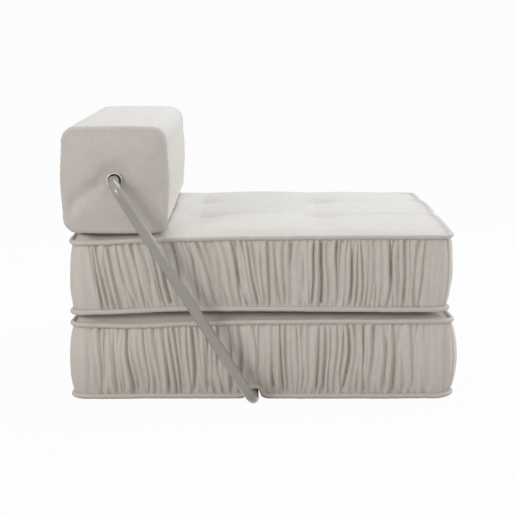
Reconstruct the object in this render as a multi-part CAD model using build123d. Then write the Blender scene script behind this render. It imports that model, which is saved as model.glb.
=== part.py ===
from build123d import *
from math import atan2, cos, hypot, radians, sin
import os

# Folding chair bed: two square foam mattresses with gathered borders, stacked loose, a square
# bolster across the back, and a bent steel tube frame that carries the bolster and runs under
# the lower mattress. Millimetres. +X is the front of the chair, +Y its left side, +Z up.
# The origin is on the floor, under the middle of the lower mattress.

# Driving sizes
mattress_depth = 1000.0
mattress_width = 1000.0
lower_height = 226.0
upper_height = 215.0
stack_gap = 0.3
piping_diameter = 13.0
mattress_corner_radius = 34.0
bolster_depth = 276.0
bolster_height = 280.0
bolster_overhang = 17.0
bolster_lift = 0.3
tube_diameter = 28.0
tube_wall = 1.5
bend_radius = 42.0
leg_offset = 66.0
crossbar_setback = 20.0

# Cushion construction
belly_rise = 17.0
foot_rise = 9.5
border_bulge = 12.5
border_shoulder_share = 0.27
border_cloth = 4.0
flutes_per_side = 24
flute_rise = 2.6
end_flute_share = 0.5
seam_gap = 0.2
belly_inset = 70.0
foot_inset = 24.0
foam_hole_radius = 2.5

# Quilted seat
biscuits_per_side = 3
seat_base = 3.2
seat_crown = 7.0
biscuit_crown = 6.0
tuft_dimple_depth = 6.0
tuft_dimple_sphere = 60.0
press_start_inset = 60.0
press_clearance = 0.3
ramp_clearance = 0.6
ramp_length = 120.0

# Tufting ties
tie_radius = 1.2
tie_washer_radius = 11.0
tie_washer_thickness = 2.0

# Bolster construction
bolster_bow = 4.0
bolster_edge_radius = 40.0
bolster_cover = 2.0
bolster_end_crown = 8.0
bolster_end_inset = 16.0
eyelet_hole_radius = 18.0
eyelet_rim_radius = 21.0
eyelet_rim_proud = 1.6
eyelet_barrel_wall = 1.0
sleeve_radius = 20.0
sleeve_wall = 2.0
bush_flange_radius = 24.0
bush_flange_thickness = 3.0
bush_length = 50.0
bush_end_setback = 10.0
running_clearance = 0.05
stub_length = 76.0

# Crossbar joint
spigot_length = 240.0
spigot_wall = 2.0
screw_radius = 2.5
screw_spacing = 70.0
screws_per_half = 2
screw_length = 6.0
screw_recess = 0.3
socket_radius = 1.5
socket_depth = 2.0
plug_length = 12.0
plug_head = 2.0
crossbar_clearance = 0.6
groove_cloth = 3.0
bridge_flat_half = 22.0
bridge_foot_half = 46.0
bridge_end_half = 66.0
bridge_bend = 16.0

# Zips
zip_length = 880.0
zip_tape_height = 24.0
zip_tape_thickness = 1.2
zip_chain_height = 6.0
zip_chain_thickness = 1.6
zip_slot_height = 26.0
zip_slot_depth = 5.5
bolster_zip_depth = 3.0
bolster_zip_drop = 60.0
slider_length = 13.0
slider_height = 10.0
slider_thickness = 4.0
slider_clearance = 0.3
slider_end_gap = 4.0
pull_length = 24.0
pull_width = 7.0
pull_thickness = 1.2
pull_hole_radius = 1.8
pull_hole_inset = 4.0

# Overrun for cuts
overrun = 30.0

# Worked-out places
piping_radius = piping_diameter / 2
half_depth = mattress_depth / 2
half_width = mattress_width / 2
seam_x = half_depth - piping_diameter - seam_gap
seam_y = half_width - piping_diameter - seam_gap
seam_corner = mattress_corner_radius - piping_radius
border_x = seam_x - flute_rise
border_y = seam_y - flute_rise
foam_x = border_x - border_cloth
foam_y = border_y - border_cloth
foam_corner = seam_corner - border_cloth
border_face_x = border_x + border_bulge + flute_rise
lower_low = foot_rise
lower_high = lower_height - belly_rise
upper_base = lower_height + stack_gap
stack_height = upper_base + upper_height
upper_low = upper_base + belly_rise
upper_high = stack_height - piping_radius
bolster_front_x = -half_depth - bolster_overhang + bolster_depth
bolster_x = bolster_front_x - bolster_depth / 2
bolster_base = stack_height + bolster_lift
bolster_z = bolster_base + bolster_height / 2
bolster_end_y = half_width
bolster_seam_y = bolster_end_y - bolster_end_crown
tube_radius = tube_diameter / 2
tube_bore = tube_radius - tube_wall
leg_plane = half_width + leg_offset
crossbar_x = -crossbar_setback
crossbar_z = tube_radius
stub_end_y = bolster_end_y - stub_length
sleeve_end_y = bolster_end_y - bush_end_setback - bush_flange_thickness
swing_radius = hypot(bolster_x - crossbar_x, bolster_z - crossbar_z)
lift_slope = (crossbar_x - bolster_x) / (bolster_z - crossbar_z)

os.makedirs("parts", exist_ok=True)


def save(node, shape):
    solids = list(shape.solids())
    made = solids[0] if len(solids) == 1 else Compound(children=solids)
    export_step(made, f"parts/{node}.step")
    volume = sum(solid.volume for solid in solids)
    print(f"{node}: {len(solids)} solid(s), {volume:.0f} mm3")


def block(x0, x1, y0, y1, z0, z1):
    middle = ((x0 + x1) / 2, (y0 + y1) / 2, (z0 + z1) / 2)
    return Pos(*middle) * Box(x1 - x0, y1 - y0, z1 - z0)


def bar_along_y(x, z, y0, y1, radius):
    return Pos(x, (y0 + y1) / 2, z) * Rot(90, 0, 0) * Cylinder(radius, y1 - y0)


def ring_along_y(x, z, y0, y1, outer, inner):
    return bar_along_y(x, z, y0, y1, outer) - bar_along_y(x, z, y0 - overrun, y1 + overrun, inner)


def rounded_slab(half_x, half_y, z0, z1, corner):
    outline = Pos(0, 0, z0) * RectangleRounded(2 * half_x, 2 * half_y, corner)
    return extrude(outline, amount=z1 - z0, dir=(0, 0, 1))


def mirrored(shape):
    return mirror(shape, about=Plane.XZ)


# The border's outline: flutes along each side, one plain arc round each corner
def fluted_outline(half_x, half_y, corner, rise, z):
    corners = [(half_x, -half_y), (half_x, half_y), (-half_x, half_y), (-half_x, -half_y)]
    sides = [(0, 1), (-1, 0), (0, -1), (1, 0)]
    edges = []
    for index, (dx, dy) in enumerate(sides):
        x0, y0 = corners[index]
        x1, y1 = corners[(index + 1) % len(corners)]
        start_x = x0 + dx * corner
        start_y = y0 + dy * corner
        run = abs(x1 - x0) + abs(y1 - y0) - 2 * corner
        pitch = run / flutes_per_side
        for flute in range(flutes_per_side):
            a = (start_x + dx * pitch * flute, start_y + dy * pitch * flute, z)
            b = (start_x + dx * pitch * (flute + 1), start_y + dy * pitch * (flute + 1), z)
            middle = ((a[0] + b[0]) / 2 + dy * rise, (a[1] + b[1]) / 2 - dx * rise, z)
            edges.append(ThreePointArc(a, middle, b))
        turn_x, turn_y = sides[(index + 1) % len(sides)]
        end = (start_x + dx * run, start_y + dy * run, z)
        after = (x1 + turn_x * corner, y1 + turn_y * corner, z)
        centre = (end[0] + turn_x * corner, end[1] + turn_y * corner)
        reach = corner * cos(radians(45))
        apex = (centre[0] + (dx - turn_x) * reach, centre[1] + (dy - turn_y) * reach, z)
        edges.append(ThreePointArc(end, apex, after))
    return Wire(edges)


# Gathered border: a closed ring that swells between the two pipings
def gathered_border(low, high):
    level_shares = [0, border_shoulder_share, 1 - border_shoulder_share, 1]
    bulge_shares = [0, 1, 1, 0]
    sections = []
    for level_share, bulge_share in zip(level_shares, bulge_shares):
        bulge = border_bulge * bulge_share
        rise = flute_rise * (end_flute_share + (1 - end_flute_share) * bulge_share)
        level = low + (high - low) * level_share
        sections.append(fluted_outline(border_x + bulge, border_y + bulge, seam_corner, rise, level))
    outside = Solid.make_loft(sections, ruled=True)
    return outside - rounded_slab(foam_x, foam_y, low - overrun, high + overrun, foam_corner)


def foam_core(low, high):
    return rounded_slab(foam_x, foam_y, low, high, foam_corner)


def piping_ring(level):
    half_x = half_depth - piping_radius
    half_y = half_width - piping_radius
    outline = Pos(0, 0, level) * RectangleRounded(2 * half_x, 2 * half_y, mattress_corner_radius)
    section = Pos(half_x, 0, level) * Rot(90, 0, 0) * Circle(piping_radius)
    return sweep(section, path=outline.wire())


# A cloth face that swells from its seam to a flat plateau
def swelled_panel(seam_level, plateau_level, inset):
    shares = [0, 0.45, 1]
    rise_shares = [0, 0.75, 1]
    wires = []
    for inset_share, rise_share in zip(shares, rise_shares):
        drawn_in = inset * inset_share
        level = seam_level + (plateau_level - seam_level) * rise_share
        corner = seam_corner + drawn_in / 2
        outline = RectangleRounded(2 * (seam_x - drawn_in), 2 * (seam_y - drawn_in), corner)
        wires.append((Pos(0, 0, level) * outline).wire())
    return Solid.make_loft(wires, ruled=True)


# The groove that the crossbar presses into the underside
def crossbar_groove(radius, reach):
    round_top = bar_along_y(crossbar_x, crossbar_z, -reach, reach, radius)
    slot = block(crossbar_x - radius, crossbar_x + radius, -reach, reach, -overrun, crossbar_z)
    return round_top + slot


# The lower piping humps over the crossbar on each side
def bridged_piping(level):
    ring = piping_ring(level)
    y = half_width - piping_radius
    top = tube_diameter + crossbar_clearance + piping_radius
    left = crossbar_x - bridge_end_half
    right = crossbar_x + bridge_end_half
    for side in (-1, 1):
        inner = y - piping_diameter
        outer = y + piping_diameter
        gap_y = sorted((side * inner, side * outer))
        ring = ring - block(left, right, *gap_y, -overrun, overrun)
        path = FilletPolyline(
            (left, side * y, level),
            (crossbar_x - bridge_foot_half, side * y, level),
            (crossbar_x - bridge_flat_half, side * y, top),
            (crossbar_x + bridge_flat_half, side * y, top),
            (crossbar_x + bridge_foot_half, side * y, level),
            (right, side * y, level),
            radius=bridge_bend,
        )
        start = Plane(origin=(left, side * y, level), z_dir=(1, 0, 0))
        ring = ring + sweep(start * Circle(piping_radius), path=path)
    return ring


def zip_slot(face_x, depth, z):
    half_long = zip_length / 2
    half_high = zip_slot_height / 2
    return block(face_x - overrun, face_x + depth, -half_long, half_long, z - half_high, z + half_high)


# One zip: tape and chain on a flat seat that faces backwards, and its slider with a pull
def zip_parts(prefix, seat_x, z):
    half_long = zip_length / 2
    half_tape = zip_tape_height / 2
    half_chain = zip_chain_height / 2
    chain_x = seat_x - zip_tape_thickness
    tape = block(chain_x, seat_x, -half_long, half_long, z - half_tape, z + half_tape)
    face_x = chain_x - zip_chain_thickness
    chain = block(face_x, chain_x, -half_long, half_long, z - half_chain, z + half_chain)
    save(f"{prefix}_zip_tape", tape)
    save(f"{prefix}_zip_chain", chain)
    slider_x = face_x - slider_clearance
    slider_y0 = -half_long + slider_end_gap
    slider_y1 = slider_y0 + slider_length
    half_slider = slider_height / 2
    back_x = slider_x - slider_thickness
    body = block(back_x, slider_x, slider_y0, slider_y1, z - half_slider, z + half_slider)
    body = chamfer(body.edges().filter_by(Axis.X), slider_thickness / 3)
    middle_y = (slider_y0 + slider_y1) / 2
    pull_x = back_x - pull_thickness
    half_pull = pull_width / 2
    pull_z0 = z - pull_length
    pull = block(pull_x, back_x, middle_y - half_pull, middle_y + half_pull, pull_z0, z + half_pull)
    hole = Pos(back_x, middle_y, pull_z0 + pull_hole_inset) * Rot(0, 90, 0)
    pull = pull - hole * Cylinder(pull_hole_radius, overrun)
    save(f"{prefix}_zip_slider", body + pull)


# The seat's height above its seams: a broad crown with a smaller one on each biscuit
def broad_crown(share):
    return seat_crown * (1 - (2 * share - 1) ** 2)


def seat_profile(y_share, y_rise):
    y = seam_y * (2 * y_share - 1)
    floor = upper_high
    seams = [index / biscuits_per_side for index in range(biscuits_per_side + 1)]
    lift = floor + seat_base + broad_crown(y_share) + y_rise
    points = [(seam_x * (2 * seam - 1), lift + broad_crown(seam)) for seam in seams]
    edges = []
    for index in range(biscuits_per_side):
        x0, z0 = points[index]
        x1, z1 = points[index + 1]
        middle_share = (seams[index] + seams[index + 1]) / 2
        z_middle = lift + broad_crown(middle_share) + biscuit_crown
        edges.append(ThreePointArc((x0, y, z0), ((x0 + x1) / 2, y, z_middle), (x1, y, z1)))
    edges.append(Line((seam_x, y, points[-1][1]), (seam_x, y, floor)))
    edges.append(Line((seam_x, y, floor), (-seam_x, y, floor)))
    edges.append(Line((-seam_x, y, floor), (-seam_x, y, points[0][1])))
    return Wire(edges)


# Where the bolster presses the seat flat, with a ramp that it clears as it lifts
def bolster_press():
    reach = half_width + overrun
    flat = bolster_base - press_clearance
    corner_x = bolster_front_x - bolster_edge_radius
    corner_z = bolster_base + bolster_edge_radius
    slope = atan2(lift_slope, 1)
    ramp_x = corner_x + bolster_edge_radius * sin(slope)
    ramp_z = corner_z - bolster_edge_radius * cos(slope) - ramp_clearance
    top_x = ramp_x + ramp_length
    top_z = ramp_z + ramp_length * lift_slope
    back_x = -half_depth - overrun
    outline = Polyline(
        (back_x, -reach, flat),
        (corner_x - press_start_inset / 2, -reach, flat),
        (ramp_x, -reach, ramp_z),
        (top_x, -reach, top_z),
        (back_x, -reach, top_z),
        close=True,
    )
    return extrude(Face(Wire(outline.edges())), amount=2 * reach, dir=(0, 1, 0))


def tuft_places():
    step_x = 2 * seam_x / biscuits_per_side
    step_y = 2 * seam_y / biscuits_per_side
    lines = range(1, biscuits_per_side)
    return [(-seam_x + step_x * i, -seam_y + step_y * j) for i in lines for j in lines]


def quilted_seat():
    rows = []
    for row in range(biscuits_per_side):
        first = row / biscuits_per_side
        last = (row + 1) / biscuits_per_side
        middle = (first + last) / 2
        sections = [
            seat_profile(first, 0),
            seat_profile(middle, biscuit_crown),
            seat_profile(last, 0),
        ]
        rows.append(Solid.make_loft(sections, ruled=False))
    seat = rows[0]
    for row in rows[1:]:
        seat = seat + row
    trim = rounded_slab(seam_x, seam_y, upper_high - overrun, upper_high + 2 * overrun, seam_corner)
    seat = seat & trim
    seat = seat - bolster_press()
    for x, y in tuft_places():
        share = (x + seam_x) / (2 * seam_x)
        share_y = (y + seam_y) / (2 * seam_y)
        level = upper_high + seat_base + broad_crown(share) + broad_crown(share_y)
        ball_z = level + tuft_dimple_sphere - tuft_dimple_depth
        seat = seat - Pos(x, y, ball_z) * Sphere(tuft_dimple_sphere)
    return seat


# Bolster section: a square with rounded edges and slightly bowed sides, drawn in by an inset
def bolster_outline(y, inset):
    edge = bolster_edge_radius - inset / 2
    reach_x = bolster_depth / 2 - bolster_bow - inset
    reach_z = bolster_height / 2 - bolster_bow - inset
    flat_x = reach_x - edge
    flat_z = reach_z - edge
    turn = edge * cos(radians(45))
    edges = []
    signs = [(1, 1), (-1, 1), (-1, -1), (1, -1)]
    for index, (sx, sz) in enumerate(signs):
        upright = (bolster_x + sx * reach_x, y, bolster_z + sz * flat_z)
        apex = (bolster_x + sx * (flat_x + turn), y, bolster_z + sz * (flat_z + turn))
        level = (bolster_x + sx * flat_x, y, bolster_z + sz * reach_z)
        corner = [upright, apex, level] if sx == sz else [level, apex, upright]
        edges.append(ThreePointArc(*corner))
        next_x, next_z = signs[(index + 1) % len(signs)]
        if sz == next_z:
            bowed = (bolster_x, y, bolster_z + sz * (reach_z + bolster_bow))
            after = (bolster_x + next_x * flat_x, y, bolster_z + sz * reach_z)
        else:
            bowed = (bolster_x + sx * (reach_x + bolster_bow), y, bolster_z)
            after = (bolster_x + sx * reach_x, y, bolster_z + next_z * flat_z)
        edges.append(ThreePointArc(corner[-1], bowed, after))
    return Wire(edges)


def bolster_bar(y0, y1, inset):
    return extrude(Face(bolster_outline(y0, inset)), amount=y1 - y0, dir=(0, 1, 0))


def bolster_end():
    sections = [
        bolster_outline(-bolster_seam_y, 0),
        bolster_outline(-bolster_end_y, bolster_end_inset),
    ]
    end = Solid.make_loft(sections, ruled=True)
    y0 = -bolster_end_y - overrun
    y1 = -bolster_seam_y + overrun
    return end - bar_along_y(bolster_x, bolster_z, y0, y1, eyelet_hole_radius)


def eyelet():
    inner = eyelet_hole_radius - eyelet_barrel_wall
    face = -bolster_end_y
    proud = face - eyelet_rim_proud
    barrel = ring_along_y(bolster_x, bolster_z, face, -bolster_seam_y, eyelet_hole_radius, inner)
    rim = ring_along_y(bolster_x, bolster_z, proud, face, eyelet_rim_radius, inner)
    round_edges = rim.edges().filter_by(GeomType.CIRCLE).group_by(Axis.Y)[0]
    rim = fillet(round_edges, eyelet_rim_proud / 3)
    return barrel + rim


def bush():
    bore = tube_radius + running_clearance
    inner_radius = sleeve_radius - sleeve_wall
    flange_y0 = -sleeve_end_y - bush_flange_thickness
    body_y1 = -sleeve_end_y + bush_length - bush_flange_thickness
    body = ring_along_y(bolster_x, bolster_z, -sleeve_end_y, body_y1, inner_radius, bore)
    flange = ring_along_y(bolster_x, bolster_z, flange_y0, -sleeve_end_y, bush_flange_radius, bore)
    return body + flange


def screw_places():
    return [screw_spacing * (index + 1 / 2) for index in range(screws_per_half)]


def screw_bar(y, radius, depth):
    head_x = crossbar_x - tube_radius + screw_recess
    return Pos(head_x + depth / 2, y, crossbar_z) * Rot(0, 90, 0) * Cylinder(radius, depth)


def joint_screws():
    screws = []
    for place in screw_places():
        for y in (-place, place):
            shank = screw_bar(y, screw_radius, screw_length)
            screws.append(shank - screw_bar(y, socket_radius, socket_depth))
    return screws


# Near half of the frame: stub into the bolster, bend, leg, bend, half of the crossbar
def frame_half():
    path = FilletPolyline(
        (bolster_x, -stub_end_y, bolster_z),
        (bolster_x, -leg_plane, bolster_z),
        (crossbar_x, -leg_plane, crossbar_z),
        (crossbar_x, 0, crossbar_z),
        radius=bend_radius,
    )
    start = Plane(origin=(bolster_x, -stub_end_y, bolster_z), z_dir=(0, -1, 0))
    tube = sweep(start * (Circle(tube_radius) - Circle(tube_bore)), path=path)
    for place in screw_places():
        hole_x = crossbar_x - tube_radius
        hole = Pos(hole_x, -place, crossbar_z) * Rot(0, 90, 0)
        tube = tube - hole * Cylinder(screw_radius, tube_radius)
    return tube


def stub_plug():
    head_y = -stub_end_y + plug_head
    shank = bar_along_y(bolster_x, bolster_z, -stub_end_y - plug_length, -stub_end_y, tube_bore)
    head = bar_along_y(bolster_x, bolster_z, -stub_end_y, head_y, tube_radius)
    return shank + head


def lower_mattress():
    bar_room = tube_radius + crossbar_clearance
    groove = crossbar_groove(bar_room, half_width + overrun)
    lined_groove = crossbar_groove(bar_room + groove_cloth, half_width + overrun)
    lining = crossbar_groove(bar_room + groove_cloth, foam_y)
    lining = lining & block(-half_depth, half_depth, -half_width, half_width, 0, lower_height)
    zip_z = (lower_low + lower_high) / 2
    slot = zip_slot(-border_face_x, zip_slot_depth, zip_z)
    save("lower_foam", foam_core(lower_low, lower_high) - lined_groove)
    save("lower_top_panel", swelled_panel(lower_high, lower_height, belly_inset))
    save("lower_bottom_panel", swelled_panel(lower_low, 0, foot_inset) + lining - groove)
    foot_piping = bridged_piping(lower_low)
    save("lower_border", gathered_border(lower_low, lower_high) - groove - slot - foot_piping)
    save("lower_top_piping", piping_ring(lower_high))
    save("lower_bottom_piping", foot_piping)
    zip_parts("lower", -border_face_x + zip_slot_depth, zip_z)


def upper_mattress():
    zip_z = (upper_low + upper_high) / 2
    slot = zip_slot(-border_face_x, zip_slot_depth, zip_z)
    foam = foam_core(upper_low, upper_high)
    ties = []
    middle_z = (upper_low + upper_high) / 2
    tall = upper_high - upper_low
    for x, y in tuft_places():
        bottom_z = upper_low + tie_washer_thickness / 2
        top_z = upper_high - tie_washer_thickness / 2
        washers = [
            Pos(x, y, bottom_z) * Cylinder(tie_washer_radius, tie_washer_thickness),
            Pos(x, y, top_z) * Cylinder(tie_washer_radius, tie_washer_thickness),
        ]
        twine = Pos(x, y, middle_z) * Cylinder(tie_radius, tall)
        ties.append(twine + washers[0] + washers[1])
        foam = foam - Pos(x, y, middle_z) * Cylinder(foam_hole_radius, tall)
        foam = foam - washers[0] - washers[1]
    save("upper_foam", foam)
    save("upper_tuft_ties", Compound(children=ties))
    save("upper_seat_panel", quilted_seat())
    save("upper_bottom_panel", swelled_panel(upper_low, upper_base, belly_inset))
    save("upper_border", gathered_border(upper_low, upper_high) - slot)
    save("upper_top_piping", piping_ring(upper_high))
    save("upper_bottom_piping", piping_ring(upper_low))
    zip_parts("upper", -border_face_x + zip_slot_depth, zip_z)


def bolster():
    back_x = bolster_x - bolster_depth / 2
    zip_z = bolster_z - bolster_zip_drop
    slot = zip_slot(back_x, bolster_zip_depth, zip_z)
    core = bolster_bar(-bolster_seam_y, bolster_seam_y, bolster_cover)
    cover = bolster_bar(-bolster_seam_y, bolster_seam_y, 0) - core
    foam = core - bar_along_y(bolster_x, bolster_z, -half_width, half_width, sleeve_radius)
    pocket = bar_along_y(bolster_x, bolster_z, -half_width, -sleeve_end_y, bush_flange_radius)
    foam = foam - pocket - mirrored(pocket) - slot
    sleeve = ring_along_y(
        bolster_x, bolster_z, -sleeve_end_y, sleeve_end_y, sleeve_radius, sleeve_radius - sleeve_wall
    )
    save("bolster_foam", foam)
    save("bolster_cover", cover - slot)
    save("bolster_sleeve", sleeve)
    save("near_bolster_end", bolster_end())
    save("far_bolster_end", mirrored(bolster_end()))
    save("near_eyelet", eyelet())
    save("far_eyelet", mirrored(eyelet()))
    save("near_bush", bush())
    save("far_bush", mirrored(bush()))
    zip_parts("bolster", back_x + bolster_zip_depth, zip_z)


def frame():
    half = frame_half()
    save("near_frame_tube", half)
    save("far_frame_tube", mirrored(half))
    spigot = ring_along_y(
        crossbar_x, crossbar_z, -spigot_length / 2, spigot_length / 2, tube_bore, tube_bore - spigot_wall
    )
    screws = joint_screws()
    for place in screw_places():
        for y in (-place, place):
            spigot = spigot - screw_bar(y, screw_radius, screw_length)
    save("crossbar_spigot", spigot)
    save("joint_screws", Compound(children=screws))
    save("near_stub_plug", stub_plug())
    save("far_stub_plug", mirrored(stub_plug()))


lower_mattress()
upper_mattress()
bolster()
frame()
print(f"swing radius {swing_radius:.1f}, top of the bolster {bolster_base + bolster_height:.1f}")
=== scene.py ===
import bisect
import math

import bmesh
import bpy
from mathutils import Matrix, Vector, noise


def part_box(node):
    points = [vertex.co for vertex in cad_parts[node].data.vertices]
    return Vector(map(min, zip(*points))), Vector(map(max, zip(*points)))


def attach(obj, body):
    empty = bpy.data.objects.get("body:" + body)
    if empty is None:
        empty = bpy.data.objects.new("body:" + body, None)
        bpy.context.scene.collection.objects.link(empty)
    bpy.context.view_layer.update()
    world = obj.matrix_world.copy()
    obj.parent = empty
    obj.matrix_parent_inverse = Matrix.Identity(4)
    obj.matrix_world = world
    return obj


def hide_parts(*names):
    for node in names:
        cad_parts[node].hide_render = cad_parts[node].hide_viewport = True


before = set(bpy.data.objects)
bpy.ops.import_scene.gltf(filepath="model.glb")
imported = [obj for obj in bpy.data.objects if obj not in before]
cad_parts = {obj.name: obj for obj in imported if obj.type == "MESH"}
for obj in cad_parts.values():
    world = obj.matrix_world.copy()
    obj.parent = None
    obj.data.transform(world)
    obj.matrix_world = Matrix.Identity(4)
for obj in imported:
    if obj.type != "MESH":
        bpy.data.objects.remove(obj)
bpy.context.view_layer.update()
scene = bpy.context.scene
mm = 0.001

view = {
    "imageSize": 515,
    "vanishX": 245.0,  # where the lines along the bolster meet, in photo pixels
    "vanishY": 28.0,
    "focalPixels": 1470.0,
    "sensor": 36.0,  # mm
    "place": (-0.0426, -4.268, 0.9695),
}


def makeCamera():
    middle = view["imageSize"] / 2
    data = bpy.data.cameras.new("camera")
    data.sensor_width = view["sensor"]
    data.lens = view["focalPixels"] / view["imageSize"] * view["sensor"]
    data.shift_x = (middle - view["vanishX"]) / view["imageSize"]
    camera = bpy.data.objects.new("camera", data)
    camera.location = view["place"]
    pitch = math.atan((middle - view["vanishY"]) / view["focalPixels"])
    camera.rotation_euler = (math.pi / 2 - pitch, 0, 0)
    scene.collection.objects.link(camera)
    scene.camera = camera


makeCamera()
print("camera ready")


def linear(hexColour):
    values = [int(hexColour[i:i + 2], 16) / 255 for i in (1, 3, 5)]
    return [v / 12.92 if v <= 0.04045 else ((v + 0.055) / 1.055) ** 2.4 for v in values] + [1]


# Settings are sockets by name or number, or else the node's own properties
def addNode(tree, kind, settings=None, links=None):
    node = tree.nodes.new(kind)
    for key, value in (settings or {}).items():
        if isinstance(key, int) or key in node.inputs:
            node.inputs[key].default_value = value
        else:
            setattr(node, key, value)
    for key, source in (links or {}).items():
        tree.links.new(source, node.inputs[key])
    return node


def newMaterial(name):
    material = bpy.data.materials.new(name)
    material.use_nodes = True
    tree = material.node_tree
    return material, tree, tree.nodes["Principled BSDF"]


def setShader(shader, settings):
    for key, value in settings.items():
        shader.inputs[key].default_value = value


# The scale of a noise whose spots are of a size in mm
def spots(size):
    return 1 / (size * mm)


weave = {
    "mottle": 18.2,  # mm, cloudy patches from washing
    "slub": 2.38,  # mm, thick and thin lengths of the thread
    "slubShare": 0.5,
    "deepAt": 0.45,
    "ribs": 0.22,
    "bump": 0.35,
    "relief": 0.6 * mm,
    "surface": {"Roughness": 0.88, "Sheen Weight": 0.22, "Sheen Roughness": 0.45,
                "Specular IOR Level": 0.25},
}


# Plain-woven cotton, washed: matt, softly fuzzy at grazing angles, with slight slubs in the thread
def wovenCloth(name, pale, deep, thread, paleAt=0.95):
    material, tree, shader = newMaterial(name)
    place = addNode(tree, "ShaderNodeTexCoord").outputs["Object"]
    mottle = addNode(tree, "ShaderNodeTexNoise", {"Scale": spots(weave["mottle"]), "Detail": 3.0},
                     {"Vector": place})
    slub = addNode(tree, "ShaderNodeTexNoise", {"Scale": spots(weave["slub"]), "Detail": 2.0},
                   {"Vector": place})
    mixed = addNode(tree, "ShaderNodeMath", {"operation": "MULTIPLY_ADD", 1: weave["slubShare"]},
                    {0: slub.outputs["Fac"], 2: mottle.outputs["Fac"]})
    ramp = addNode(tree, "ShaderNodeValToRGB", {}, {"Fac": mixed.outputs[0]})
    stops = [(weave["deepAt"], deep), (paleAt, pale)]
    for element, (position, colour) in zip(ramp.color_ramp.elements, stops):
        element.position = position
        element.color = linear(colour)
    tree.links.new(ramp.outputs["Color"], shader.inputs["Base Color"])
    # ribs at the thread's spacing along all three axes
    turns = 2 * math.pi / (thread * mm)
    scaled = addNode(tree, "ShaderNodeVectorMath", {"operation": "SCALE", "Scale": turns},
                     {0: place})
    waves = addNode(tree, "ShaderNodeVectorMath", {"operation": "SINE"}, {0: scaled.outputs[0]})
    axes = addNode(tree, "ShaderNodeSeparateXYZ", {}, {0: waves.outputs[0]}).outputs
    pair = addNode(tree, "ShaderNodeMath", {"operation": "ADD"}, {0: axes[0], 1: axes[1]})
    ribs = addNode(tree, "ShaderNodeMath", {"operation": "ADD"}, {0: pair.outputs[0], 1: axes[2]})
    height = addNode(tree, "ShaderNodeMath", {"operation": "MULTIPLY_ADD", 1: weave["ribs"]},
                     {0: ribs.outputs[0], 2: slub.outputs["Fac"]})
    bump = addNode(tree, "ShaderNodeBump", {"Strength": weave["bump"], "Distance": weave["relief"]},
                   {"Height": height.outputs[0]})
    tree.links.new(bump.outputs["Normal"], shader.inputs["Normal"])
    setShader(shader, weave["surface"])
    return material


coat = {
    "cloud": 111,  # mm, slow changes in the thickness of the coat
    "peel": 1.43,  # mm, between the tops of the orange peel
    "bump": 0.12,
    "relief": 0.3 * mm,
    "surface": {"Metallic": 0.1, "Roughness": 0.4, "Coat Weight": 1.0, "Coat Roughness": 0.07,
                "Coat IOR": 1.6},
}


# Satin powder coat, sprayed and baked: a fine orange peel that blurs the highlight
def powderCoat(name, colour, darker):
    material, tree, shader = newMaterial(name)
    place = addNode(tree, "ShaderNodeTexCoord").outputs["Object"]
    cloud = addNode(tree, "ShaderNodeTexNoise", {"Scale": spots(coat["cloud"]), "Detail": 4.0},
                    {"Vector": place})
    ramp = addNode(tree, "ShaderNodeValToRGB", {}, {"Fac": cloud.outputs["Fac"]})
    ramp.color_ramp.elements[0].color = linear(darker)
    ramp.color_ramp.elements[1].color = linear(colour)
    tree.links.new(ramp.outputs["Color"], shader.inputs["Base Color"])
    peel = addNode(tree, "ShaderNodeTexNoise", {"Scale": spots(coat["peel"]), "Detail": 1.0},
                   {"Vector": place})
    bump = addNode(tree, "ShaderNodeBump", {"Strength": coat["bump"], "Distance": coat["relief"]},
                   {"Height": peel.outputs["Fac"]})
    tree.links.new(bump.outputs["Normal"], shader.inputs["Normal"])
    setShader(shader, coat["surface"])
    return material


metal = {
    "grain": 1.11,  # mm, about ten times as coarse as the real lines so that it shows
    "smoothest": 0.7,
    "roughest": 1.4,
}


# Drawn or plated metal: a clear shine that fine lines break up, long along y where it is drawn
def plainMetal(name, colour, roughness, brush):
    material, tree, shader = newMaterial(name)
    place = addNode(tree, "ShaderNodeTexCoord").outputs["Object"]
    stretch = addNode(tree, "ShaderNodeMapping", {"Scale": (1.0, brush, 1.0)}, {"Vector": place})
    grain = addNode(tree, "ShaderNodeTexNoise", {"Scale": spots(metal["grain"]), "Detail": 2.0},
                    {"Vector": stretch.outputs[0]})
    spread = {"To Min": roughness * metal["smoothest"], "To Max": roughness * metal["roughest"]}
    rough = addNode(tree, "ShaderNodeMapRange", spread, {"Value": grain.outputs["Fac"]})
    tree.links.new(rough.outputs[0], shader.inputs["Roughness"])
    setShader(shader, {"Base Color": linear(colour), "Metallic": 1.0})
    return material


plastic = {
    "grain": 0.667,  # mm, several times as coarse as the real tool marks so that it shows
    "grainBump": 0.1,
    "coilBump": 0.6,
    "relief": 0.6 * mm,
}


# Turned or moulded nylon: a dull shine over a fine grain, or over a zip coil's row of turns
def mouldedPlastic(name, colour, roughness, pitch=0.0):
    material, tree, shader = newMaterial(name)
    place = addNode(tree, "ShaderNodeTexCoord").outputs["Object"]
    if pitch:
        # at a scale of 1 the bands of a wave texture repeat every pi / 10
        bands = {"bands_direction": "Y", "Scale": math.pi / 10 / (pitch * mm)}
        pattern = addNode(tree, "ShaderNodeTexWave", bands, {"Vector": place})
    else:
        spotted = {"Scale": spots(plastic["grain"]), "Detail": 1.0}
        pattern = addNode(tree, "ShaderNodeTexNoise", spotted, {"Vector": place})
    strength = plastic["coilBump"] if pitch else plastic["grainBump"]
    bump = addNode(tree, "ShaderNodeBump", {"Strength": strength, "Distance": plastic["relief"]},
                   {"Height": pattern.outputs["Fac"]})
    tree.links.new(bump.outputs["Normal"], shader.inputs["Normal"])
    setShader(shader, {"Base Color": linear(colour), "Roughness": roughness})
    return material


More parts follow.
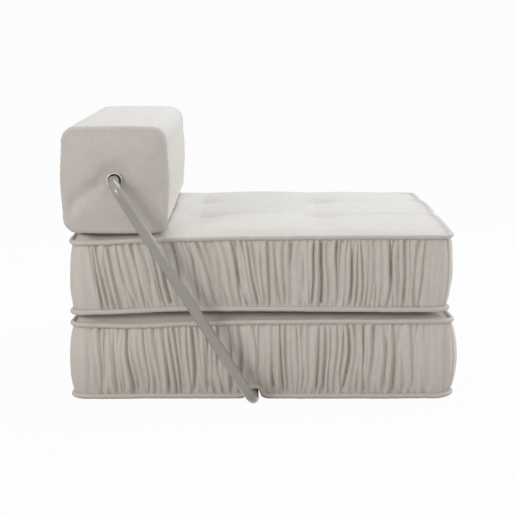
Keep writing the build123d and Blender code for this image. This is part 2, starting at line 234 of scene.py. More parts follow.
cloth = {
    "pale": "#D6CEC6",
    "deep": "#D0C7BF",
    # the borders' cotton is painted paler than the panels': painted light that lifts the shade in
    # their folds
    "gatheredPaintedLightPale": "#DAD2C9",
    "gatheredPaintedLightDeep": "#D4CBC2",
    "thread": 1.3,  # mm, about twice as coarse as the real 0.6 mm so that it shows
    "pipingThread": 1.0,  # these three are drawn coarser than they are for the same reason
    "tapeThread": 0.9,
    "twineThread": 0.8,
    "coilPitch": 1.6,  # mm, between the turns of a zip's coil
}
panelCloth = wovenCloth("woven cotton, panels", cloth["pale"], cloth["deep"], cloth["thread"])
# the same cotton as the panels, painted paler: painted light over the shaded folds of the borders
gatheredClothPaintedLighter = wovenCloth("woven cotton, gathered, painted paler for light", cloth["gatheredPaintedLightPale"],
                           cloth["gatheredPaintedLightDeep"], cloth["thread"], 1.0)
pipingCloth = wovenCloth("woven cotton, piping on the bias", cloth["pale"], cloth["deep"],
                         cloth["pipingThread"])
# a flat close weave, darker than the cloth round it
zipTapeCloth = wovenCloth("polyester zip tape", "#BDB5AA", "#AAA297", cloth["tapeThread"])
# a yellower thread with a tight twist
twineCloth = wovenCloth("waxed twine", "#D8D0C0", "#C4BBA8", cloth["twineThread"])
frameCoat = powderCoat("steel, satin powder coat", "#9C958E", "#918A83")
bareSteel = plainMetal("steel tube, drawn", "#A9AAAC", 0.3, 0.05)  # soft streaks lengthwise
screwSteel = plainMetal("steel, zinc plated", "#9E9FA0", 0.35, 1.0)  # greyer and duller
eyeletChrome = plainMetal("brass, nickel plated", "#CFCBC5", 0.12, 1.0)  # nearly a mirror
bushNylon = mouldedPlastic("nylon, turned", "#262626", 0.5)  # near black
zipCoil = mouldedPlastic("nylon zip coil", "#A8A095", 0.45, cloth["coilPitch"])  # ribbed
zipPaint = powderCoat("zinc slider, painted", "#A39C92", "#968F85")
print("materials ready")


def clamp(value):
    return max(0.0, min(1.0, value))


def smooth(value):
    value = clamp(value)
    return value * value * (3 - 2 * value)


def bell(off, width):
    return math.exp(-(off / width) ** 2)


# Noise with a number of waves to the metre
def turbulence(x, y, z, scale, seed=0.0):
    return noise.noise(Vector((x * scale + seed, y * scale - seed, z * scale + 2 * seed)))


def rimLength(halfX, halfY, corner):
    return 4 * (halfX + halfY - 2 * corner) + 2 * math.pi * corner


# A point at a distance along a rounded rectangle, anticlockwise from the near back corner,
# with its outward direction and how far it is from the nearest corner
def rimPoint(distance, halfX, halfY, corner):
    distance = distance % rimLength(halfX, halfY, corner)
    arc = math.pi / 2 * corner
    starts = [(-halfX + corner, -halfY), (halfX, -halfY + corner),
              (halfX - corner, halfY), (-halfX, halfY - corner)]
    for index, (dx, dy) in enumerate([(1, 0), (0, 1), (-1, 0), (0, -1)]):
        run = 2 * ((halfY if index % 2 else halfX) - corner)
        nx, ny = dy, -dx
        x, y = starts[index]
        if distance <= run:
            return x + dx * distance, y + dy * distance, nx, ny, min(distance, run - distance)
        distance -= run
        if distance <= arc:
            turn = distance / corner
            ox = nx * math.cos(turn) + dx * math.sin(turn)
            oy = ny * math.cos(turn) + dy * math.sin(turn)
            x, y = x + dx * run + (ox - nx) * corner, y + dy * run + (oy - ny) * corner
            return x, y, ox, oy, 0.0
        distance -= arc
    return starts[0][0], starts[0][1], 0, -1, 0.0


mattress = {
    "half": 0.4935,  # to the middle of the piping
    "corner": 0.034,
    "pipingRadius": 6.6 * mm,
    "cornerEar": 3 * mm,  # the corners stand out and the middle of each side is drawn in
    "earReach": 0.04,
    "drawnIn": 3 * mm,
    "drawnReach": 0.25,
    "lowerReach": 6 * mm,  # the lower mattress reaches further to the front than the upper one
    "upperReach": -7 * mm,
    "lowerFoot": 9.7 * mm,
    "lowerTop": 208 * mm,
    "upperFoot": 243.3 * mm,
    "upperTop": 434.2 * mm,
    "rest": 226.1 * mm,  # where the two mattresses meet
}
# where the lower mattress rides up over the frame's crossbar
crossbar = {"x": -0.020, "hump": 29.6 * mm, "width": 0.0215, "sharpness": 10,
            "pipingLift": 25.6 * mm}
# how far each piping line hangs below or stands above its level, in mm, by its place
# from the back at -0.5 m to the front at 0.5 m
sags = {
    "upperTop": [(-0.5, -17), (-0.42, -15), (-0.3, -10), (-0.2, -5.5), (0.0, -2.5), (0.3, -0.5),
                 (0.5, 0)],
    "upperFoot": [(-0.5, -10), (-0.42, -7.5), (-0.2, 0.5), (0.0, 0.5), (0.34, -1.5), (0.5, 0)],
    "lowerTop": [(-0.5, -5), (-0.42, -8), (-0.34, -10), (-0.18, -4), (0.0, 1), (0.3, 2.5),
                 (0.5, 4)],
    "lowerFoot": [(-0.5, 1.5), (-0.4, 0), (0.3, 0), (0.45, 2), (0.5, 8)],
}


def hang(line, x):
    places = sags[line]
    if x <= places[0][0]:
        return places[0][1] * mm
    for (x0, v0), (x1, v1) in zip(places, places[1:]):
        if x <= x1:
            return (v0 + (v1 - v0) * smooth((x - x0) / (x1 - x0))) * mm
    return places[-1][1] * mm


def humpAt(x):
    return 1 / (1 + (abs(x - crossbar["x"]) / crossbar["width"]) ** crossbar["sharpness"])


seat = {
    "divisions": 260,
    "biscuits": 3,
    "broad": 8 * mm,
    "seamRise": 3.5 * mm,
    "seamEnd": 0.05,
    "puff": 4.5 * mm,
    "frontArch": 7 * mm,
    "edgeRoll": 0.05,
    "notch": 4 * mm,
    "notchWidth": 0.04,
    "ramp": 0.5,  # gentler than the way the bolster lifts off, which keeps the seat clear of it
    "clear": 1.2 * mm,
    "overPiping": 2 * mm,
    "backFullness": 13 * mm,
    "tuftDepth": 5 * mm,
    "tuftWidth": 13 * mm,
    "pullDepth": 14 * mm,
    "pullWidth": 50 * mm,
    "spokes": 7,
    "spokeDepth": 3 * mm,
    "spokeReach": 0.05,
    "crease": 2.2 * mm,
    "creaseWidth": 6 * mm,
    "unevenness": 0.9 * mm,
}
bolsterLow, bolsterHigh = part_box("bolster_cover")
bolsterRadius = 0.040
tuftLines = [mattress["half"] * share for share in (-1 / 3, 1 / 3)]
seatTufts = [(x, y) for x in tuftLines for y in tuftLines]


# How high the bolster lets the seat stand: flat under it, then a ramp past its rounded edge
def pressedTo(x):
    edgeX = bolsterHigh[0] - bolsterRadius
    edgeZ = bolsterLow[2] + bolsterRadius
    tangent = math.atan(seat["ramp"])
    reach = bolsterRadius * math.sin(tangent)
    if x < edgeX:
        return bolsterLow[2] - seat["clear"]
    if x < edgeX + reach:
        return edgeZ - math.sqrt(bolsterRadius ** 2 - (x - edgeX) ** 2) - seat["clear"]
    rise = (x - edgeX - reach) * seat["ramp"]
    return edgeZ - bolsterRadius * math.cos(tangent) + rise - seat["clear"]


# Height of the quilted seat above the piping's middle
def seatRise(x, y):
    half = mattress["half"]
    u, v = clamp((x / half + 1) / 2), clamp((y / half + 1) / 2)
    a, b = (u * seat["biscuits"]) % 1.0, (v * seat["biscuits"]) % 1.0
    archA, archB = max(0.0, 4 * a * (1 - a)), max(0.0, 4 * b * (1 - b))
    broad = seat["broad"] * (2 - (2 * u - 1) ** 2 - (2 * v - 1) ** 2)
    broad += seat["frontArch"] * (1 - (2 * v - 1) ** 2) * smooth((x - 0.25) / 0.24)
    across = 0.7 * archA ** 1.3 * smooth((half - abs(x)) / seat["seamEnd"])
    seam = seat["seamRise"] * (across + archB ** 0.8 - archA * archB)
    puff = seat["puff"] * (archA * archB) ** 0.9
    return smooth((half - abs(y)) / seat["edgeRoll"]) ** 0.6 * (broad + seam + puff)


# The same along the piping, which the bolster holds down at the back
def edgeRise(x, y):
    room = pressedTo(x) - mattress["pipingRadius"] - mattress["upperTop"] - hang("upperTop", x)
    return min(seatRise(x, y), room)


# The front edge is drawn in where the lines of tufts meet it
def seatNotch(x, y):
    near = sum(bell(y - line, seat["notchWidth"]) for line in tuftLines)
    return seat["notch"] * near * smooth((x - 0.42) / 0.07)


def forward(x, name, up):
    upper = mattress["upperReach"] * (1 - up)
    reach = mattress["lowerReach"] if name[:5] == "lower" else upper
    return reach * smooth((x - 0.3) / 0.19)


def edgeOffset(away):
    ear = mattress["cornerEar"] * math.exp(-away / mattress["earReach"])
    return ear - mattress["drawnIn"] * smooth(away / mattress["drawnReach"])


def level(x, y):
    return 0.0


def boundary(bm):
    return [edge for edge in bm.edges if edge.is_boundary]


# The open edges are drawn out to new ones, whose vertices the caller places
def turnedIn(bm):
    turned = bmesh.ops.extrude_edge_only(bm, edges=boundary(bm))
    return [part for part in turned["geom"] if isinstance(part, bmesh.types.BMVert)]


def finishMesh(bm, name, material, body, standsFor):
    bmesh.ops.recalc_face_normals(bm, faces=bm.faces)
    mesh = bpy.data.meshes.new(name)
    bm.to_mesh(mesh)
    bm.free()
    mesh.materials.append(material)
    mesh.shade_smooth()
    piece = bpy.data.objects.new(name, mesh)
    scene.collection.objects.link(piece)
    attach(piece, body)
    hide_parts(*standsFor)
    return piece


zipSetting = {"beyond": 0.03, "fade": 0.018, "under": 0.4 * mm}


# The cloth at the back lies flat just under its zip, up to a height above and below it
def flattened(x, y, z, zipBox, height):
    low, high = zipBox
    flat = smooth((high[1] + zipSetting["beyond"] - abs(y)) / zipSetting["beyond"])
    flat *= smooth((height - abs(z - (low[2] + high[2]) / 2)) / zipSetting["fade"])
    return x * (1 - flat) + (high[0] + zipSetting["under"]) * flat


gathers = {
    "columns": 2600,
    "rows": 34,
    "pitch": 11.5 * mm,
    "depth": 10 * mm,
    "finePitch": 7.5 * mm,
    "fineDepth": 6 * mm,
    "fineReach": 0.03,
    "held": 0.03,  # how far from the piping the cloth comes free of it
    "heldShare": 0.45,
    "spread": 1.5,  # how unlike each other the folds are in depth and in how they fade
    "widthSpread": 0.8,
    "topFade": 0.62,
    "footFade": 0.68,
    "drift": 12 * mm,
    "fineDrift": 6 * mm,
    "slant": 24 * mm,
    "bend": 13 * mm,
    "foldReach": 0.03,
    "searchReach": 0.055,  # a slanted fold may stand this far from its place
    "valleyWidth": 3.6 * mm,
    "lap": 1.9,  # the cloth laps over each valley from one side
    "shoulder": 0.35,
    "shoulderAt": 9 * mm,
    "shoulderWidth": 6 * mm,
    "swellDepth": 5.5 * mm,
    "swells": [(1.0, 46, 0.9, 3), (0.5, 85, 1.6, 5)],  # share, waves to the metre, twist, seed
    "calmFrom": 2 * mm,
    "foldCalm": 0.038,
    "swellCalm": 0.04,
    "seamDepth": 2.6 * mm,
    "seamLip": 0.8 * mm,
    "seamWidth": 2 * mm,
    "zipFlat": 0.044,
    "innerWall": 0.972,
}


# On the near side the folds lean, more towards the back
def leaning(x, ny, lean):
    return lean * smooth((0.15 - x) / 0.3) * (ny < -0.5)


# Folds at irregular places round the border, and the list of those places
def makeFolds(length, pitch, half, lean, seed):
    count = round(length / pitch)
    folds = []
    for index in range(count):
        dice = [noise.noise(Vector((index * 7.31 + seed, k * 3.7 + 0.5, seed))) for k in range(7)]
        middle = (index + 0.5 + dice[0]) * length / count
        x, _, _, ny, away = rimPoint(middle, half, half, mattress["corner"])
        slant = leaning(x, ny, lean) * smooth((x + 0.47) / 0.12)
        calm = smooth((away - gathers["calmFrom"]) / gathers["foldCalm"])
        folds.append({
            "at": middle,
            "depth": max(0.1, 0.8 + gathers["spread"] * dice[2]) * (0.1 + 0.9 * calm),
            "width": gathers["valleyWidth"] * (1 + gathers["widthSpread"] * dice[3]),
            "lap": gathers["lap"] if dice[5] > dice[3] else 1 / gathers["lap"],
            "slant": slant + gathers["slant"] * dice[1],
            "bend": gathers["bend"] * dice[4],
            "topFade": clamp(gathers["topFade"] + gathers["spread"] * dice[5]),
            "footFade": clamp(gathers["footFade"] + gathers["spread"] * dice[6]),
        })
    folds.sort(key=lambda fold: fold["at"])
    return folds, [fold["at"] for fold in folds]


# The cloth stands in round ridges between narrow valleys
def foldRelief(folds, places, distance, up, length):
    relief = 0.0
    first = bisect.bisect_left(places, distance - gathers["searchReach"])
    for index in range(first, first + len(folds)):
        wrap = (index // len(folds)) * length
        fold = folds[index % len(folds)]
        off = distance - wrap - fold["at"]
        if off < -gathers["searchReach"]:
            break
        off += fold["slant"] * (up - 0.5) + fold["bend"] * math.sin(math.pi * up)
        if abs(off) > gathers["foldReach"]:
            continue
        fade = fold["topFade"] * up + fold["footFade"] * (1 - up)
        lap = fold["lap"] if off > 0 else 1 / fold["lap"]
        valley = bell(off, fold["width"] * lap)
        shoulder = bell(abs(off) - gathers["shoulderAt"], gathers["shoulderWidth"])
        relief += fold["depth"] * fade * (gathers["shoulder"] * shoulder - valley)
    return relief


# The stitched corner of a border, a groove between two lips
def cornerSeam(nx, ny, corner):
    width = gathers["seamWidth"]
    off = corner * abs(math.atan2(abs(nx), abs(ny)) - math.pi / 4)
    groove = gathers["seamDepth"] * bell(off, width)
    return gathers["seamLip"] * bell(off - 2 * width, width) - groove


# Low uneven swelling between the folds, nothing where the border's two ends meet
def swelling(along, up, length, seed):
    swell = 0.0
    for share, waves, twist, shift in gathers["swells"]:
        swell += share * noise.noise(Vector((along * waves + seed, up * twist, seed * shift)))
    ends = smooth(along / 0.03) * smooth((length - along) / 0.03)
    return gathers["swellDepth"] * swell * ends


def makeBorder(name, shape):
    half = mattress["half"] - mattress["pipingRadius"]
    corner = mattress["corner"] - mattress["pipingRadius"]
    length = rimLength(half, half, corner)
    seed, foot, top = shape["seed"], shape["foot"], shape["top"]
    main, mainPlaces = makeFolds(length, gathers["pitch"], half, shape["lean"], seed)
    fine, finePlaces = makeFolds(length, gathers["finePitch"], half, shape["lean"], seed + 31)
    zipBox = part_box(shape["zip"])
    low, high = mattress[foot], mattress[top]
    columns = gathers["columns"]
    bm = bmesh.new()
    bmesh.ops.create_grid(bm, x_segments=columns, y_segments=gathers["rows"], size=1)
    for vert in bm.verts:
        distance = (vert.co.x + 1) / 2 * length % length
        # the rows lie closer together near the foot and the top
        up = 0.5 + 0.5 * (0.8 * vert.co.y + 0.2 * math.sin(vert.co.y * math.pi / 2))
        x, y, nx, ny, away = rimPoint(distance, half, half, corner)
        fromEdge = min(up, 1 - up) * (high - low)
        freed = smooth(fromEdge / gathers["held"])
        drift = distance + gathers["drift"] * turbulence(x, y, up * 0.06, 7.0, seed)
        drift += gathers["fineDrift"] * turbulence(x, y, up * 0.2, 10.0, seed + 2)
        share = gathers["heldShare"] + (1 - gathers["heldShare"]) * freed
        depth = shape["folds"] * gathers["depth"] * share
        outward = depth * foldRelief(main, mainPlaces, drift, up, length)
        depth = gathers["fineDepth"] * math.exp(-fromEdge / gathers["fineReach"])
        outward += depth * foldRelief(fine, finePlaces, drift, up, length)
        along = (drift + leaning(x, ny, shape["lean"]) * (up - 0.5)) % length
        calm = smooth((away - gathers["calmFrom"]) / gathers["swellCalm"])
        outward += swelling(along, up, length, seed) * calm * freed
        bulge = shape["bulge"] + (shape["frontBulge"] if nx > 0.5 else 0)
        outward += bulge * math.sin(math.pi * up) ** 0.6
        outward += edgeOffset(away) + cornerSeam(nx, ny, corner)
        z = low + hang(foot, x) + (high + hang(top, x) - low - hang(foot, x)) * up
        if shape["overCrossbar"]:
            z += crossbar["pipingLift"] * humpAt(x) * (abs(ny) > 0.5) * (1 - up) ** 3
        z += shape["rise"](x, y) * up ** 2
        px, py = x + nx * outward + forward(x, name, up), y + ny * outward
        if shape["rise"] is edgeRise and nx > 0.5:
            px -= seatNotch(x, y) * up ** 3
        if nx < -0.5:
            px = flattened(px, y, z, zipBox, gathers["zipFlat"])
        vert.co = (px, py, z)
    bmesh.ops.remove_doubles(bm, verts=bm.verts, dist=5e-6)
    # turned in behind the piping and closed by an inner wall
    for vert in turnedIn(bm):
        vert.co.x *= gathers["innerWall"]
        vert.co.y *= gathers["innerWall"]
    bmesh.ops.bridge_loops(bm, edges=boundary(bm))
    return finishMesh(bm, name, gatheredClothPaintedLighter, name[:5] + "_mattress",
                      shape["standsFor"])


piping = {
    "steps": 560,
    "wander": 0.9 * mm,
    "wave": 0.7 * mm,
    "lumps": 0.6 * mm,
    "aboveFloor": 0.4 * mm,
}


# A lumpy cord along a mattress's edge, drawn as a curve and then made a mesh
def makePiping(name, line, rise, overCrossbar, standsFor, seed):
    half = mattress["half"]
    corner = mattress["corner"]
    length = rimLength(half, half, corner)
    curve = bpy.data.curves.new(name, "CURVE")
    curve.dimensions = "3D"
    curve.bevel_depth = mattress["pipingRadius"]
    curve.bevel_resolution = 5
    spline = curve.splines.new("POLY")
    spline.points.add(piping["steps"] - 1)
    spline.use_cyclic_u = True
    for index, point in enumerate(spline.points):
        x, y, nx, ny, away = rimPoint(length * index / piping["steps"], half, half, corner)
        outward = edgeOffset(away) + piping["wander"] * turbulence(x, y, seed, 14.0, seed)
        z = mattress[line] + hang(line, x) + rise(x, y)
        z += piping["wave"] * turbulence(x, y, seed, 11.0, seed + 3)
        if overCrossbar:
            z += crossbar["pipingLift"] * humpAt(x) * (abs(ny) > 0.5)
            z = max(z, mattress["pipingRadius"] + piping["aboveFloor"])
        px, py = x + nx * outward + forward(x, name, "Top" in name), y + ny * outward
        if rise is edgeRise:
            z = min(z, pressedTo(x) - mattress["pipingRadius"])
            px -= seatNotch(x, y) * (nx > 0.5)
        point.co = (px, py, z, 1)
    holder = bpy.data.objects.new(name + "Line", curve)
    mesh = bpy.data.meshes.new_from_object(holder)
    bm = bmesh.new()
    bm.from_mesh(mesh)
    bpy.data.objects.remove(holder)
    bpy.data.meshes.remove(mesh)
    bmesh.ops.remove_doubles(bm, verts=bm.verts, dist=1e-6)
    bm.normal_update()
    for vert in bm.verts:
        lump = turbulence(vert.co.x, vert.co.y, vert.co.z, 90.0, seed)
        vert.co += vert.normal * lump * piping["lumps"]
    return finishMesh(bm, name, pipingCloth, name[:5] + "_mattress", standsFor)


panel = {
    "inside": 3 * mm,  # how far the panel's edge lies inside the piping's middle
    "skirt": 0.985,
    "bellyPower": 0.8,
    "backPower": 0.25,
    "wrinkle": 0.7 * mm,
    "wrinkleReach": 0.08,
    "footRoll": 0.03,
    "aboveFloor": 0.05 * mm,
}


def makePanel(name, divisions, underneath, heightAt, standsFor):
    half = mattress["half"] - panel["inside"]
    corner = mattress["corner"] - panel["inside"]
    bm = bmesh.new()
    bmesh.ops.create_grid(bm, x_segments=divisions, y_segments=divisions, size=1)
    for vert in bm.verts:
        x, y = vert.co.x * half, vert.co.y * half
        away = half - max(abs(x), abs(y))
        # the outermost rings bend round the corners
        beyondX, beyondY = abs(x) - (half - corner), abs(y) - (half - corner)
        if beyondX > 0 and beyondY > 0:
            pull = max(beyondX, beyondY) / math.hypot(beyondX, beyondY)
            x = math.copysign(half - corner + beyondX * pull, x)
            y = math.copysign(half - corner + beyondY * pull, y)
        vert.co = heightAt(x, y, away)
        vert.co.x += forward(x, name, "Seat" in name)
    # a skirt and a flat face close it inside the cushion
    for vert in turnedIn(bm):
        vert.co = (vert.co.x * panel["skirt"], vert.co.y * panel["skirt"], underneath)
    bmesh.ops.edgeloop_fill(bm, edges=boundary(bm))
    return finishMesh(bm, name, panelCloth, name[:5] + "_mattress", standsFor)


def seatSurface(x, y, away):
    z = mattress["upperTop"] + hang("upperTop", x) * (1 - smooth(away / 0.1)) + seatRise(x, y)
    fullness = seat["overPiping"] + seat["backFullness"] * smooth((-0.42 - x) / 0.05)
    z += fullness * smooth(away / 0.018) ** 0.6
    # stitched lines, the long ones deeper to the front and the cross ones near the tufts
    nearTuft = bell(abs(y) - tuftLines[1], 0.05)
    for line in tuftLines:
        for off, strength in [(y - line, 0.15 + 0.85 * smooth((x - 0.08) / 0.3)),
                              (x - line, 0.1 + 0.5 * nearTuft)]:
            crease = seat["crease"] * strength * bell(off, seat["creaseWidth"])
            z -= crease * smooth(away / 0.02)
    for tx, ty in seatTufts:
        radius = math.hypot(x - tx, y - ty)
        if radius < 0.2:
            z -= seat["tuftDepth"] * bell(radius, seat["tuftWidth"])
            z -= seat["pullDepth"] * bell(radius, seat["pullWidth"])
            # creases run out from the tuft between the spokes
            angle = math.atan2(y - ty, x - tx)
            turn = seat["spokes"] / 2 * angle + 0.6 * math.sin(angle * 2 + tx * 9)
            depth = seat["spokeDepth"] * bell(radius, seat["spokeReach"])
            z -= depth * (1 - abs(math.sin(turn))) * smooth(radius / 0.012)
    z += seat["unevenness"] * turbulence(x, y, 0.0, 5.0, 3.0) * smooth(away / 0.05)
    return x - seatNotch(x, y) * smooth((x - 0.33) / 0.16), y, min(z, pressedTo(x))


# A panel that bellies out from its piping to a plateau, more steeply at the back
def bellyHeight(line, plateau, roll):
    def place(x, y, away):
        edge = mattress[line] + hang(line, x)
        steeper = (panel["bellyPower"] - panel["backPower"]) * smooth((-0.4 - x) / 0.06)
        z = edge + (plateau - edge) * smooth(away / roll) ** (panel["bellyPower"] - steeper)
        wrinkle = panel["wrinkle"] * turbulence(x, y, plateau, 14.0, 5.0)
        return x, y, z + wrinkle * (away < panel["wrinkleReach"])
    return place


# The lowest panel lies on the floor and over the crossbar
def footHeight(x, y, away):
    z = mattress["lowerFoot"] + hang("lowerFoot", x)
    z = z * (1 - smooth(away / panel["footRoll"]) ** 0.7) + panel["aboveFloor"]
    return x, y, z + (crossbar["hump"] - z) * humpAt(x)


borders = {
    "upperBorder": {
        "foot": "upperFoot",
        "top": "upperTop",
        "rise": edgeRise,
        "overCrossbar": False,
        "bulge": 13 * mm,
        "frontBulge": 0,
        "lean": 0.046,
        "folds": 1.05,
        "seed": 1.0,
        "zip": "upper_zip_tape",
        "standsFor": ["upper_border", "upper_foam"],
    },
    "lowerBorder": {
        "foot": "lowerFoot",
        "top": "lowerTop",
        "rise": level,
        "overCrossbar": True,
        "bulge": 17 * mm,
        "frontBulge": 5 * mm,
        "lean": 0.018,
        "folds": 1.3,
        "seed": 6.0,
        "zip": "lower_zip_tape",
        "standsFor": ["lower_border", "lower_foam"],
    },
}
for border, shape in borders.items():
    makeBorder(border, shape)
print("borders ready")
makePiping("upperTopPiping", "upperTop", edgeRise, False, ["upper_top_piping"], 2.0)
makePiping("upperBottomPiping", "upperFoot", level, False, ["upper_bottom_piping"], 4.0)
makePiping("lowerTopPiping", "lowerTop", level, False, ["lower_top_piping"], 7.0)
makePiping("lowerBottomPiping", "lowerFoot", level, True, ["lower_bottom_piping"], 11.0)
print("piping ready")
seatDivisions = seat["divisions"]
# after the divisions, the height of the flat face that closes each panel inside its cushion
makePanel("upperSeatPanel", seatDivisions, 0.412, seatSurface, ["upper_seat_panel"])
makePanel("upperBottomPanel", 90, 0.262,
          bellyHeight("upperFoot", mattress["rest"] + 0.4 * mm, 0.09), ["upper_bottom_panel"])
makePanel("lowerTopPanel", 90, 0.186,
          bellyHeight("lowerTop", mattress["rest"], 0.045), ["lower_top_panel"])
makePanel("lowerBottomPanel", 150, 0.045, footHeight, ["lower_bottom_panel"])
print("panels ready")

bolsterShape = {
    "around": 240,
    "along": 130,
    "rings": 40,
    "hole": 18.6 * mm,
    "eyeletRim": 21.5 * mm,
    "tunnel": 20.4 * mm,
    "turnIn": 4 * mm,
    "crown": 9 * mm,
    "endUnevenness": 1.4 * mm,
    "bow": 1.5 * mm,
    "sideBow": 3 * mm,  # on top of that at the front and the back
    "softness": 1.8 * mm,
    "fineSoftness": 0.7 * mm,
    "inset": 1.0 * mm,
    "rimRadius": 9 * mm,
    "rimSide": 0.45,  # share of that rounding at the front and the back
    "rimTop": 1.1,
    "seamFromEnd": 1.5 * mm,
    "seamGroove": 1.6 * mm,
    "seamWidth": 2.2 * mm,
    "puckers": 46,
    "puckerDepth": 0.7 * mm,
    "puckerReach": 0.012,
    "lean": 1.2 * mm,
    "aboveSeat": 0.2 * mm,
    "zipFlat": 0.034,
}
tension = {
    "start": 22.0,  # degrees below level where a fold leaves the eyelet
    "bend": 13.0,
    "reach": 0.155,
    "depth": 8.5 * mm,
    "backShare": 1.5,
    "above": 24 * mm,
    "below": 14 * mm,
}
bolsterMiddle = Vector(((bolsterLow[0] + bolsterHigh[0]) / 2, 0,
                        (bolsterLow[2] + bolsterHigh[2]) / 2))
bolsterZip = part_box("bolster_zip_tape")


# Pulled from the eyelet down to both lower corners, the cloth steps in along each line
# and swells out below it
def tensionFolds(dx, dz):
    radius = math.hypot(dx, dz)
    share = radius / tension["reach"]
    line = math.radians(tension["start"] + tension["bend"] * share ** 2)
    under = radius * (math.atan2(-dz, abs(dx)) - line)
    across = bell(under, tension["above"] if under < 0 else tension["below"])
    depth = tension["depth"] * (tension["backShare"] if dx < 0 else 1)
    return -depth * across * math.sin(math.pi * min(1.0, share / 1.1) ** 0.75) ** 0.8


# A point of the bolster's outline, at a share of the way round it and a place along it
def bolsterSection(turn, y):
    halfX = (bolsterHigh[0] - bolsterLow[0]) / 2 - bolsterShape["inset"]
    halfZ = (bolsterHigh[2] - bolsterLow[2]) / 2 - bolsterShape["inset"]
    distance = turn * rimLength(halfX, halfZ, bolsterRadius)
    x, z, nx, nz, away = rimPoint(distance, halfX, halfZ, bolsterRadius)
    fromEnd = bolsterHigh[1] - abs(y)
    fromSeam = fromEnd - bolsterShape["seamFromEnd"]
    out = (bolsterShape["bow"] + bolsterShape["sideBow"] * abs(nx)) * smooth(away / 0.09)
    pucker = math.sin(turn * 2 * math.pi * bolsterShape["puckers"] + 3 * turbulence(x, y, z, 6.0))
    pucker *= math.exp(-abs(fromSeam) / bolsterShape["puckerReach"])
    out += bolsterShape["puckerDepth"] * pucker
    out -= bolsterShape["seamGroove"] * bell(fromSeam, bolsterShape["seamWidth"])
    soft = bolsterShape["softness"] * turbulence(x, y, z, 4.5, 2.0)
    soft += bolsterShape["fineSoftness"] * turbulence(x, y, z, 15.0, 5.0)
    out += soft * smooth(fromEnd / 0.05)
    radius = bolsterShape["rimRadius"]
    if fromEnd < radius:
        drawnIn = radius - math.sqrt(max(0.0, radius ** 2 - (radius - fromEnd) ** 2))
        out -= drawnIn * (bolsterShape["rimSide"] * abs(nx) + bolsterShape["rimTop"] * abs(nz))
    px = bolsterMiddle.x + x + nx * out - bolsterShape["lean"] * z / halfZ
    pz = max(bolsterMiddle.z + z + nz * out, bolsterLow[2] + bolsterShape["aboveSeat"])
    if nx < -0.5:
        px = flattened(px, y, pz, bolsterZip, bolsterShape["zipFlat"])
    return px, pz


# One end panel, from the rim to the eyelet's hole
def makeEnd(side):
    endY = bolsterHigh[1]
    cap = bmesh.new()
    bmesh.ops.create_grid(cap, x_segments=bolsterShape["around"],
                          y_segments=bolsterShape["rings"], size=1)
    for vert in cap.verts:
        share = ((vert.co.y + 1) / 2) ** 1.3
        px, pz = bolsterSection((vert.co.x + 1) / 2 % 1.0, side * endY)
        dx, dz = px - bolsterMiddle.x, pz - bolsterMiddle.z
        rim = math.hypot(dx, dz)
        radius = rim + (bolsterShape["hole"] - rim) * share
        dx, dz = dx / rim * radius, dz / rim * radius
        fromRim = rim - radius
        calm = smooth((radius - bolsterShape["eyeletRim"]) / 0.03) * smooth(fromRim / 0.03)
        uneven = bolsterShape["endUnevenness"] * turbulence(dx, dz, side * 0.3, 9.0, 1.0)
        out = bolsterShape["crown"] * smooth(fromRim / 0.07) ** 0.7
        out *= smooth((radius - 0.021) / 0.04)
        out += (tensionFolds(dx, dz) + uneven) * calm
        out -= 0.3 * mm * (share > 0.99)  # the hole's edge sinks in behind the eyelet
        vert.co = (bolsterMiddle.x + dx, side * (endY + out), bolsterMiddle.z + dz)
    mesh = bpy.data.meshes.new("endPanel")
    cap.to_mesh(mesh)
    cap.free()
    return mesh


def makeBolster():
    bm = bmesh.new()
    bmesh.ops.create_grid(bm, x_segments=bolsterShape["around"],
                          y_segments=bolsterShape["along"], size=1)
    for vert in bm.verts:
        # the rings lie closer together near both ends
        y = bolsterHigh[1] * math.sin(vert.co.y * math.pi / 2)
        px, pz = bolsterSection((vert.co.x + 1) / 2 % 1.0, y)
        vert.co = (px, y, pz)
    for side in (-1, 1):
        mesh = makeEnd(side)
        bm.from_mesh(mesh)
        bpy.data.meshes.remove(mesh)
    bmesh.ops.remove_doubles(bm, verts=bm.verts, dist=2e-5)
    # both holes turn in behind the eyelets and meet round the sleeve
    for vert in turnedIn(bm):
        dx, dz = vert.co.x - bolsterMiddle.x, vert.co.z - bolsterMiddle.z
        wider = bolsterShape["tunnel"] / math.hypot(dx, dz)
        vert.co = (bolsterMiddle.x + dx * wider,
                   vert.co.y - math.copysign(bolsterShape["turnIn"], vert.co.y),
                   bolsterMiddle.z + dz * wider)
    bmesh.ops.bridge_loops(bm, edges=boundary(bm))
    standsFor = ["bolster_cover", "bolster_foam", "near_bolster_end", "far_bolster_end"]
    return finishMesh(bm, "bolster", panelCloth, "bolster", standsFor)


makeBolster()
print("bolster ready")

# what each node that keeps its CAD shape is made of
finishes = {
    "near_frame_tube": frameCoat,
    "far_frame_tube": frameCoat,
    "crossbar_spigot": bareSteel,
    "bolster_sleeve": bareSteel,
    "joint_screws": screwSteel,
    "near_eyelet": eyeletChrome,
    "far_eyelet": eyeletChrome,
    "near_bush": bushNylon,
    "far_bush": bushNylon,
    "near_stub_plug": bushNylon,
    "far_stub_plug": bushNylon,
    "upper_tuft_ties": twineCloth,
    "lower_zip_tape": zipTapeCloth,
    "upper_zip_tape": zipTapeCloth,
    "bolster_zip_tape": zipTapeCloth,
    "lower_zip_chain": zipCoil,
    "upper_zip_chain": zipCoil,
    "bolster_zip_chain": zipCoil,
    "lower_zip_slider": zipPaint,
    "upper_zip_slider": zipPaint,
    "bolster_zip_slider": zipPaint,
}
for node, material in finishes.items():
    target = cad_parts[node]
    target.data.materials.clear()
    target.data.materials.append(material)
print("finishes ready")

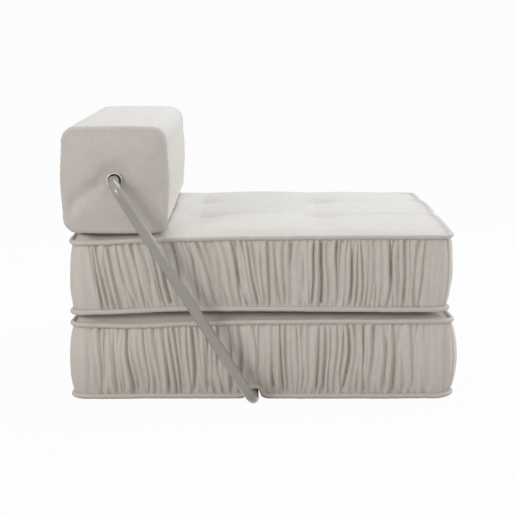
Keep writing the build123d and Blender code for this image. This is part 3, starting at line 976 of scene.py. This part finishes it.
studio = {
    "floor": "#BEBEBE",
    "floorSize": 30,
    "shown": 0.965,  # how much of the floor the camera sees as white, the rest keeps the shadow
    "world": 0.58,
    "seenWorld": 0.98,
    "aim": (0, 0, 0.35),
    "key": {"power": 67.0, "place": (0.5, 0.8, 3.5), "size": 2.8, "colour": (0.76, 0.9, 1.0)},
    "side": {"power": 72.0, "place": (4.2, 0.7, 1.2), "size": 1.4, "colour": (0.9, 0.96, 1.0)},
    "fill": {"power": 58.0, "place": (-2.9, -3.8, 2.1), "size": 1.6, "colour": (1.0, 0.97, 0.94)},
}


# 1 for rays from the camera, also those that a shiny or clear surface has passed on
def seenRays(tree):
    path = addNode(tree, "ShaderNodeLightPath")
    seen = addNode(tree, "ShaderNodeMath", {"operation": "MAXIMUM"},
                   {0: path.outputs["Is Camera Ray"], 1: path.outputs["Is Glossy Ray"]})
    return addNode(tree, "ShaderNodeMath", {"operation": "MAXIMUM"},
                   {0: seen.outputs[0], 1: path.outputs["Is Transmission Ray"]}).outputs[0]


# Matt paint, rolled on: no shine, so that the floor shows only the shadow
def makeFloor():
    bm = bmesh.new()
    bmesh.ops.create_grid(bm, x_segments=1, y_segments=1, size=studio["floorSize"])
    mesh = bpy.data.meshes.new("floor")
    bm.to_mesh(mesh)
    bm.free()
    material, tree, shader = newMaterial("painted studio floor")
    setShader(shader, {"Base Color": linear(studio["floor"]), "Roughness": 0.95,
                       "Specular IOR Level": 0.1})
    share = addNode(tree, "ShaderNodeMath", {"operation": "MULTIPLY", 1: studio["shown"]},
                    {0: seenRays(tree)})
    white = addNode(tree, "ShaderNodeEmission", {"Strength": 1.0})
    mixed = addNode(tree, "ShaderNodeMixShader", {},
                    {0: share.outputs[0], 1: shader.outputs[0], 2: white.outputs[0]})
    tree.links.new(mixed.outputs[0], tree.nodes["Material Output"].inputs["Surface"])
    mesh.materials.append(material)
    floor = bpy.data.objects.new("floor", mesh)
    scene.collection.objects.link(floor)


def makeLights():
    world = bpy.data.worlds.new("studio")
    scene.world = world
    world.use_nodes = True
    tree = world.node_tree
    strength = addNode(tree, "ShaderNodeMapRange",
                       {"To Min": studio["world"], "To Max": studio["seenWorld"]},
                       {"Value": seenRays(tree)})
    background = tree.nodes["Background"]
    background.inputs["Color"].default_value = (1, 1, 1, 1)
    tree.links.new(strength.outputs[0], background.inputs["Strength"])
    for name in ("key", "side", "fill"):
        data = bpy.data.lights.new(name, "AREA")
        data.energy = studio[name]["power"]
        data.shape = "DISK"
        data.size = studio[name]["size"]
        data.color = studio[name]["colour"]
        lamp = bpy.data.objects.new(name, data)
        lamp.location = studio[name]["place"]
        aim = Vector(studio["aim"]) - lamp.location
        lamp.rotation_euler = aim.to_track_quat("-Z", "Y").to_euler()
        scene.collection.objects.link(lamp)


makeFloor()
makeLights()
scene.view_settings.view_transform = "Standard"
print("stage ready")
